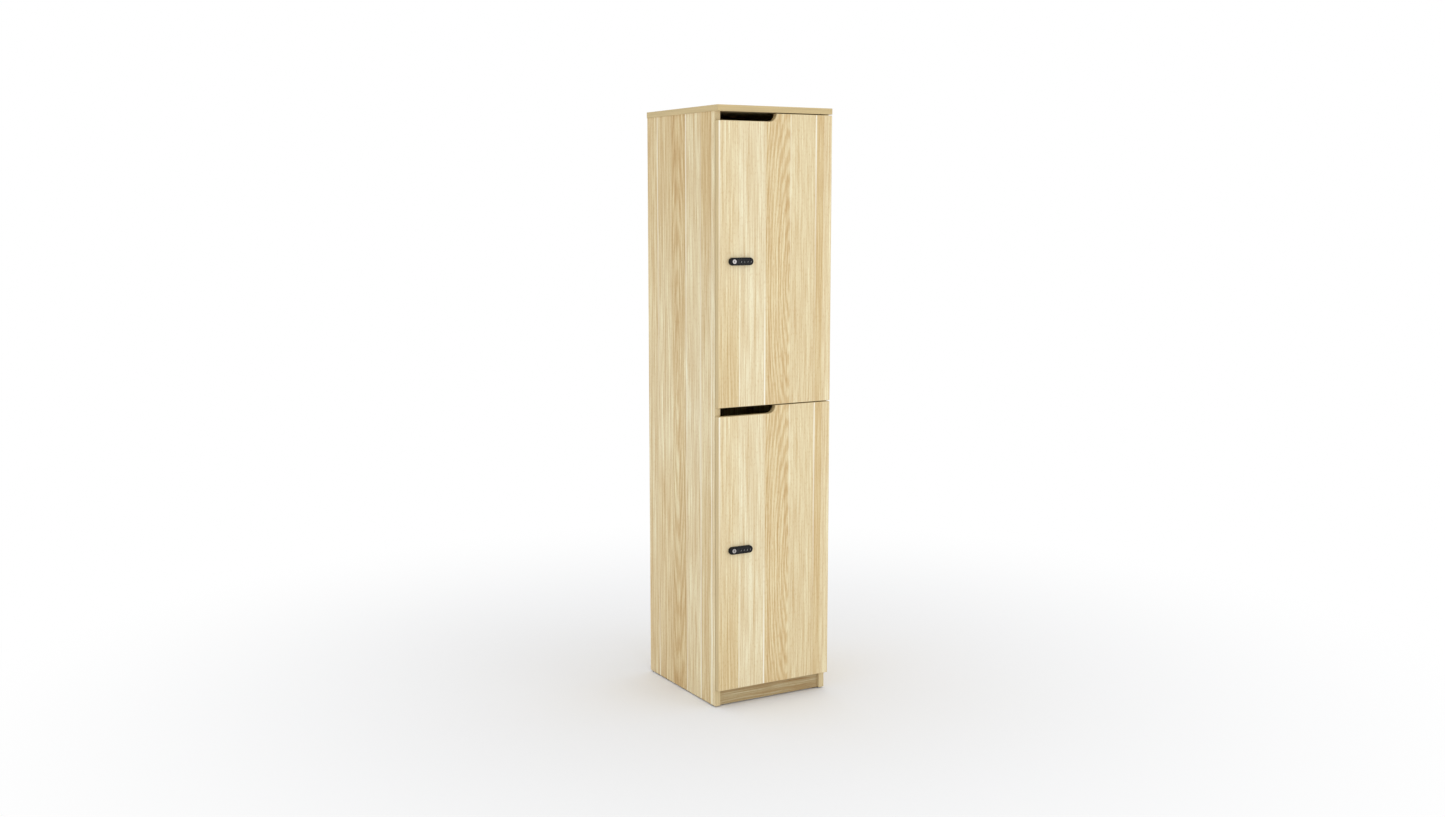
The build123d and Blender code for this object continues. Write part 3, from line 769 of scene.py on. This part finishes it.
DOOR_DECOR = Decor(Lie.FRONT_UPRIGHT, DOOR_STAVES, DOOR_SEAMS, DOOR_FLAME)
BACK_DECOR = Decor(Lie.FRONT_UPRIGHT, DOOR_STAVES, (), DOOR_FLAME)
SIDE_DECOR = Decor(Lie.SIDE_UPRIGHT, SIDE_STAVES, SIDE_SEAMS, SIDE_FLAME, 1.4)
LEVEL_DECOR = Decor(Lie.LEVEL, LEVEL_STAVES)
RAIL_DECOR = Decor(Lie.FRONT_LEVEL, RAIL_STAVES, contrast=1.6)


def dress(node: str, material: bpy.types.Material) -> None:
    """Give a CAD node one material.

    Args:
        node: The node's name.
        material: Its finish.
    """
    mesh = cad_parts[node].data
    mesh.materials.clear()
    mesh.materials.append(material)
    LOG.info("%s: %s", node, material.name)


def face(board: str, outline: str, name: str, decor: Decor, shift: float = 0.0) -> None:
    """Face a board with printed oak.

    Args:
        board: The board's node.
        outline: The node at whose low corner the print starts: the board, or the edging round it.
        name: What the material is named for.
        decor: The print.
        shift: Moves the fine grain, so that boards differ.
    """
    low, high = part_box(outline)
    along = "XYZ".index(decor.lie.value[1])
    start = tuple(value / MM for value in low)
    length = (high[along] - low[along]) / MM
    dress(board, OakMelamine(f"oak_melamine_{name}", decor, start, length, shift).build())


@dataclass
class Finishes:
    """The finishes that several sub-assemblies share.

    Attributes:
        black: Moulded nylon, for the locks' cases, knobs and dials, and for the feet.
        grey: Moulded ABS, for the locks' window plates.
        ink: Printing ink, for the dials' numbers.
        nickel: Nickel-plated castings, for the hinges and strike plates.
        zinc: Zinc-plated steel, for the screws, fittings and latches.
        steel: Ground rod, for the hinge pins and dial shafts.
        silver: Satin chrome, for the key plugs.
        beech: Turned beech, for the dowels.
        upright_edging: Oak foil, for the sides' front edges, with painted shade for the way they face.
        door_edging: Oak foil, for the doors' edges, with painted shade for the way they face.
        top_edging: Oak foil, for the top board's edges, with painted shade for the way they face.
    """

    black: bpy.types.Material
    grey: bpy.types.Material
    ink: bpy.types.Material
    nickel: bpy.types.Material
    zinc: bpy.types.Material
    steel: bpy.types.Material
    silver: bpy.types.Material
    beech: bpy.types.Material
    upright_edging: bpy.types.Material
    door_edging: bpy.types.Material
    top_edging: bpy.types.Material

    @classmethod
    def make(cls) -> "Finishes":
        """Build every shared finish once.

        Returns:
            The set of finishes.
        """
        return cls(
            # Dull and almost black, with a wide soft highlight on its rounded edges.
            black=MouldedPlastic("moulded_black_nylon", "#111215", 0.55).build(),
            # A little lighter and smoother, so that the window plate stands out from its case.
            grey=MouldedPlastic("moulded_grey_abs", "#232427", 0.5).build(),
            # White ink, dulled because the numbers' strokes are drawn broader than real ones to show.
            ink=MouldedPlastic("printed_white_ink", "#A6A6A4", 0.6).build(),
            # Warm and bright, with the soft ripple of a casting.
            nickel=PlatedMetal("nickel_plated_zinc_casting", "#C9C4BB", 0.3).build(),
            # Cooler and duller, with a broader highlight.
            zinc=PlatedMetal("zinc_plated_steel", "#BCC0C2", 0.38).build(),
            # The brightest, with fine streaks.
            steel=PlatedMetal("ground_steel_rod", "#B4B4B6", 0.25, (0.4, 0.4, 6.0)).build(),
            # A soft grey shine, with fine turning marks.
            silver=PlatedMetal("satin_chrome_turning", "#A29F9E", 0.34, (0.5, 4.0, 0.5)).build(),
            # Pinker than the oak, with hardly any figure.
            beech=LinedWood("turned_beech", Lines.ACROSS_DEPTH, "#CFAE80").build(),
            # The three edgings are one foil. Each has painted shade for the way that its edge faces, so the
            # top's edging is the darkest and the uprights' the lightest.
            upright_edging=LinedWood("oak_edging_upright_painted_shade", Lines.ACROSS_WIDTH, "#D2BF94").build(),
            door_edging=LinedWood("oak_edging_door_painted_shade", Lines.ACROSS_DEPTH, "#CDB88B").build(),
            top_edging=LinedWood("oak_edging_top_painted_shade", Lines.ACROSS_HEIGHT, "#C8B384").build(),
        )


@dataclass
class Carcass:
    """The fixed boards, their edging, feet and fittings.

    Attributes:
        finishes: The shared finishes.
    """

    finishes: Finishes

    # Each board's print, and how far its fine grain is moved.
    BOARDS = {
        "left_side_panel": (SIDE_DECOR, 0.0),
        "right_side_panel": (SIDE_DECOR, 3.0),
        "back_panel": (BACK_DECOR, 8.0),
        "top_panel": (LEVEL_DECOR, 11.0),
        "middle_shelf": (LEVEL_DECOR, 12.0),
        "bottom_panel": (LEVEL_DECOR, 13.0),
        "kick_plate": (RAIL_DECOR, 21.0),
        "rear_rail": (RAIL_DECOR, 22.0),
    }

    def dress(self) -> None:
        """Give each fixed node its finish."""
        for board, (decor, shift) in self.BOARDS.items():
            face(board, board, board, decor, shift)
        dress("left_side_edge_band", self.finishes.upright_edging)
        dress("right_side_edge_band", self.finishes.upright_edging)
        dress("top_edge_band", self.finishes.top_edging)
        dress("glide_feet", self.finishes.black)
        dress("wood_dowels", self.finishes.beech)
        for node in ("cam_fittings", "cam_bolts", "hinge_plate_screws", "strike_screws"):
            dress(node, self.finishes.zinc)
        for node in ("hinge_plates", "strike_plates"):
            dress(node, self.finishes.nickel)


@dataclass
class Door:
    """A door with its edging and hinges.

    Attributes:
        name: Which door.
        finishes: The shared finishes.
    """

    name: str
    finishes: Finishes

    def dress(self) -> None:
        """Give each node of the door its finish."""
        edging = f"{self.name}_door_edge_band"
        face(f"{self.name}_door_panel", edging, f"{self.name}_door", DOOR_DECOR)
        dress(edging, self.finishes.door_edging)
        for place in ("low", "top"):
            dress(f"{self.name}_{place}_hinge_cup", self.finishes.nickel)
            dress(f"{self.name}_{place}_hinge_arm", self.finishes.nickel)
        dress(f"{self.name}_cup_screws", self.finishes.zinc)
        dress(f"{self.name}_hinge_pins", self.finishes.steel)


@dataclass
class CombinationLock:
    """The lock on a door, with the numbers on its dials.

    Attributes:
        door: Which door it is on.
        finishes: The shared finishes.
        number_mm: The height of a number.
        stroke_mm: How much its strokes are thickened on each side.
        relief_mm: How far a number stands out of its dial.
    """

    door: str
    finishes: Finishes
    number_mm: float = 2.9
    stroke_mm: float = 0.07
    relief_mm: float = 0.05

    # The size of the lettering for each unit of a number's height.
    LETTERING = 1.4
    # Steps in each curved stretch of a number's outline.
    CURVE_STEPS = 3
    # Points of a number that are closer than this are one point, in metres.
    WELD = 1e-7

    def dress(self) -> None:
        """Give each node of the lock its finish."""
        finishes = {
            "lock_housing": self.finishes.black,
            "lock_face": self.finishes.grey,
            "lock_nut": self.finishes.zinc,
            "dial_shaft": self.finishes.steel,
            "knob": self.finishes.black,
            "key_plug": self.finishes.silver,
            "latch": self.finishes.zinc,
            "latch_bolt": self.finishes.zinc,
        }
        for part, finish in finishes.items():
            dress(f"{self.door}_{part}", finish)
        for dial in range(1, DIALS_PER_LOCK + 1):
            dress(f"{self.door}_dial_{dial}", self.finishes.black)
            self._numbers(f"{self.door}_dial_{dial}")

    def _numbers(self, dial: str) -> None:
        """Lay the ten numbers round a dial.

        Args:
            dial: The dial's node, which is also its body.
        """
        low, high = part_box(dial)
        centre = (Vector(low) + Vector(high)) / 2
        radius = (high[1] - low[1]) / 2
        whole = bmesh.new()
        for number in range(NUMBERS_PER_DIAL):
            shape = self._number_mesh(str(number))
            turn = 2 * math.pi * number / NUMBERS_PER_DIAL
            for vertex in shape.vertices:
                across, up, out = vertex.co
                angle = turn + up / radius
                reach = radius + out
                away = Vector((across, -reach * math.cos(angle), reach * math.sin(angle)))
                vertex.co = centre + away
            whole.from_mesh(shape)
            bpy.data.meshes.remove(shape)
        bmesh.ops.remove_doubles(whole, verts=whole.verts, dist=self.WELD)
        bmesh.ops.recalc_face_normals(whole, faces=whole.faces)
        mesh = bpy.data.meshes.new(f"{dial}_numbers")
        whole.to_mesh(mesh)
        whole.free()
        mesh.materials.append(self.finishes.ink)
        piece = bpy.data.objects.new(f"{dial}_numbers", mesh)
        bpy.context.collection.objects.link(piece)
        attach(piece, dial)
        LOG.info("%s: numbers", piece.name)

    def _number_mesh(self, text: str) -> bpy.types.Mesh:
        """Make a thin solid number.

        Args:
            text: The number.

        Returns:
            Its mesh, centred, upright and facing +Z.
        """
        curve = bpy.data.curves.new("number", "FONT")
        curve.body = text
        curve.size = self.number_mm * MM * self.LETTERING
        curve.extrude = self.relief_mm * MM
        curve.offset = self.stroke_mm * MM
        curve.resolution_u = self.CURVE_STEPS
        curve.align_x = "CENTER"
        curve.align_y = "CENTER"
        holder = bpy.data.objects.new("number", curve)
        bpy.context.collection.objects.link(holder)
        depsgraph = bpy.context.evaluated_depsgraph_get()
        mesh = bpy.data.meshes.new_from_object(holder.evaluated_get(depsgraph))
        bpy.data.objects.remove(holder)
        bpy.data.curves.remove(curve)
        heights = [vertex.co.y for vertex in mesh.vertices]
        middle = (max(heights) + min(heights)) / 2
        mesh.transform(Matrix.Translation((0, -middle, 0)))
        return mesh


@dataclass
class Studio:
    """The camera, the light, the pale surround and the floor.

    Attributes:
        eye: Where the camera stands, in metres.
        pitch_deg: How far it looks down from level.
        yaw_deg: How far it is turned from straight ahead.
        sensor_mm: The width of its sensor.
        lens_mm: Its focal length.
        sight: How far it sees, in metres.
        sky: How brightly the surround lights the locker.
        softbox: Where the softbox stands, in metres.
        softbox_size: The side of the softbox, in metres.
        softbox_power: Its power, in watts.
        floor_radius: The floor's radius, in metres.
        floor_sides: How many sides the floor's edge has.
        paint: The floor's colour.
        fade: How far from the locker the floor's painted glow starts and has turned it white, in metres.
    """

    eye: Place = (-2.422, -4.1283, 1.534)
    pitch_deg: float = -7.60
    yaw_deg: float = -29.80
    sensor_mm: float = 36.0
    lens_mm: float = 37.707
    sight: float = 100.0
    sky: float = 0.93
    softbox: Place = (2.6, -4.2, 1.2)
    softbox_size: float = 2.5
    softbox_power: float = 31.0
    floor_radius: float = 9.0
    floor_sides: int = 96
    paint: str = "#F3F4F6"
    fade: tuple[float, float] = (0.2, 2.6)

    def build(self) -> None:
        """Set up the whole studio."""
        self._camera()
        self._world()
        self._softbox()
        self._floor()
        bpy.context.scene.view_settings.view_transform = "Standard"

    def _camera(self) -> None:
        """Place the camera."""
        data = bpy.data.cameras.new("camera")
        data.sensor_width = self.sensor_mm
        data.lens = self.lens_mm
        data.clip_end = self.sight
        camera = bpy.data.objects.new("camera", data)
        camera.location = self.eye
        camera.rotation_euler = (math.radians(90 + self.pitch_deg), 0, math.radians(self.yaw_deg))
        bpy.context.collection.objects.link(camera)
        bpy.context.scene.camera = camera

    def _world(self) -> None:
        """Add an even pale surround, which the camera sees as white."""
        world = bpy.data.worlds.new("surround")
        bpy.context.scene.world = world
        nodes = Nodes(world)
        seen = nodes.add("ShaderNodeLightPath").outputs["Is Camera Ray"]
        level = nodes.add("ShaderNodeMapRange", {"Value": seen}, {"To Min": self.sky, "To Max": 1.0})
        white = {"Color": linear("#FFFFFF")}
        light = nodes.add("ShaderNodeBackground", {"Strength": level.outputs[0]}, white)
        nodes.add("ShaderNodeOutputWorld", {"Surface": light.outputs[0]})

    def _softbox(self) -> None:
        """Add a square softbox that faces the middle of the locker."""
        data = bpy.data.lights.new("front_softbox", "AREA")
        data.size = self.softbox_size
        data.energy = self.softbox_power
        light = bpy.data.objects.new("front_softbox", data)
        light.location = self.softbox
        middle = Vector((0, 0, CAD_BOX[1][2] / 2))
        light.rotation_euler = (middle - Vector(self.softbox)).to_track_quat("-Z", "Y").to_euler()
        bpy.context.collection.objects.link(light)

    def _floor(self) -> None:
        """Add a pale round floor of matt paint, which turns into a painted white glow away from the locker
        and so fades into the white surround.
        """
        disc = bmesh.new()
        bmesh.ops.create_circle(disc, cap_ends=True, segments=self.floor_sides, radius=self.floor_radius)
        mesh = bpy.data.meshes.new("studio_floor")
        disc.to_mesh(mesh)
        disc.free()
        material = bpy.data.materials.new("painted_studio_floor")
        nodes = Nodes(material)
        place = nodes.add("ShaderNodeTexCoord").outputs["Object"]
        away = nodes.add("ShaderNodeVectorMath", {0: place}, operation="LENGTH").outputs["Value"]
        limits = {"From Min": self.fade[0], "From Max": self.fade[1]}
        share = nodes.add("ShaderNodeMapRange", {"Value": away}, limits, interpolation_type="SMOOTHSTEP")
        paint = nodes.add("ShaderNodeBsdfDiffuse", values={"Color": linear(self.paint)})
        # Painted light: away from the locker the floor glows white, though it is no lamp.
        painted_glow = nodes.add("ShaderNodeEmission", values={"Strength": 1.0})
        ends = {1: paint.outputs[0], 2: painted_glow.outputs[0]}
        mixed = nodes.add("ShaderNodeMixShader", {0: share.outputs[0], **ends})
        nodes.add("ShaderNodeOutputMaterial", {"Surface": mixed.outputs[0]})
        mesh.materials.append(material)
        floor = bpy.data.objects.new("studio_floor", mesh)
        bpy.context.collection.objects.link(floor)


def main() -> None:
    """Build the classes in order."""
    logging.basicConfig(level=logging.INFO, format="%(name)s %(message)s")
    finishes = Finishes.make()
    Carcass(finishes).dress()
    for name in DOOR_NAMES:
        Door(name, finishes).dress()
        CombinationLock(name, finishes).dress()
    Studio().build()


if __name__ == "__main__":
    main()
